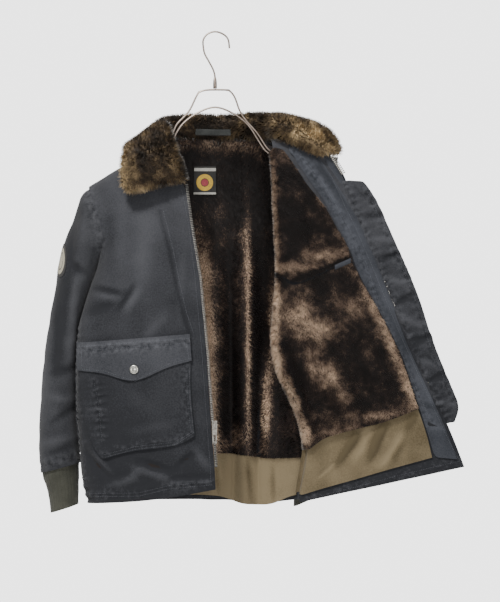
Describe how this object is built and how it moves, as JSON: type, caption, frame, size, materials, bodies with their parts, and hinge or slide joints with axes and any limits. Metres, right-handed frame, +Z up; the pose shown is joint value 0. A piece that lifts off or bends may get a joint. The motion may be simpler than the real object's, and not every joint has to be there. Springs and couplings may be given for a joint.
{
  "type": "sherpa jacket on wire hanger",
  "caption": "Canvas work jacket with pile lining, fur collar, rib cuffs and flap pockets, hanging on a wire hanger with its left front turned out.",
  "frame": {"origin": "inside top of the hanger's hook, where it rests on a rail", "axes": "+Z up; -Y is the side the jacket's front faces; +X towards the wearer's left, to the right in the picture"},
  "size_m": [0.8096, 0.2124, 0.9177],
  "materials": {
    "canvas": "matt navy charcoal cotton canvas",
    "pile": "deep dark brown pile",
    "collar fur": "short dense brown fur pile",
    "olive cloth": "matt olive lining cloth",
    "rib knit": "dark green rib knit",
    "zip metal": "worn zip metal",
    "zip tape": "woven tape",
    "snap metal": "silver coloured snap cap",
    "chrome": "bright chrome wire",
    "badge cloth": "cream woven badge",
    "label cloth": "black woven label"
  },
  "bodies": {
    "jacket": {"shell_front_right": "canvas", "shell_back": "canvas", "shell_front_left": "canvas", "sleeve_right": "canvas", "sleeve_left": "canvas", "cuff_right": "rib knit", "cuff_left": "rib knit", "lining_back": "pile", "band_back": "olive cloth", "lining_front_right": "pile", "lining_left_upper": "pile", "lining_left_lower": "pile", "band_left": "olive cloth", "facing_left": "canvas", "wind_flap": "canvas", "zip_right": "zip metal", "zip_left": "zip metal", "zip_slider": "zip metal", "pocket_right": "canvas", "pocket_flap_right": "canvas", "snap_right": "snap metal", "pocket_left": "canvas", "pocket_flap_left": "canvas", "sleeve_patch": "badge cloth", "neck_label": "label cloth", "collar": "collar fur", "neck_loop": "zip tape", "hanger_hook": "chrome", "hanger_frame": "chrome"},
    "pull_tab": {"zip_pull": "zip metal"}
  },
  "joints": [
    {"name": "pull_tab_hinge", "type": "hinge", "parent": "jacket", "child": "pull_tab", "pos_m": [0.00039, -0.07505, -0.74061], "axis": [-1, 0, 0], "range_deg": [0, 150]}
  ]
}
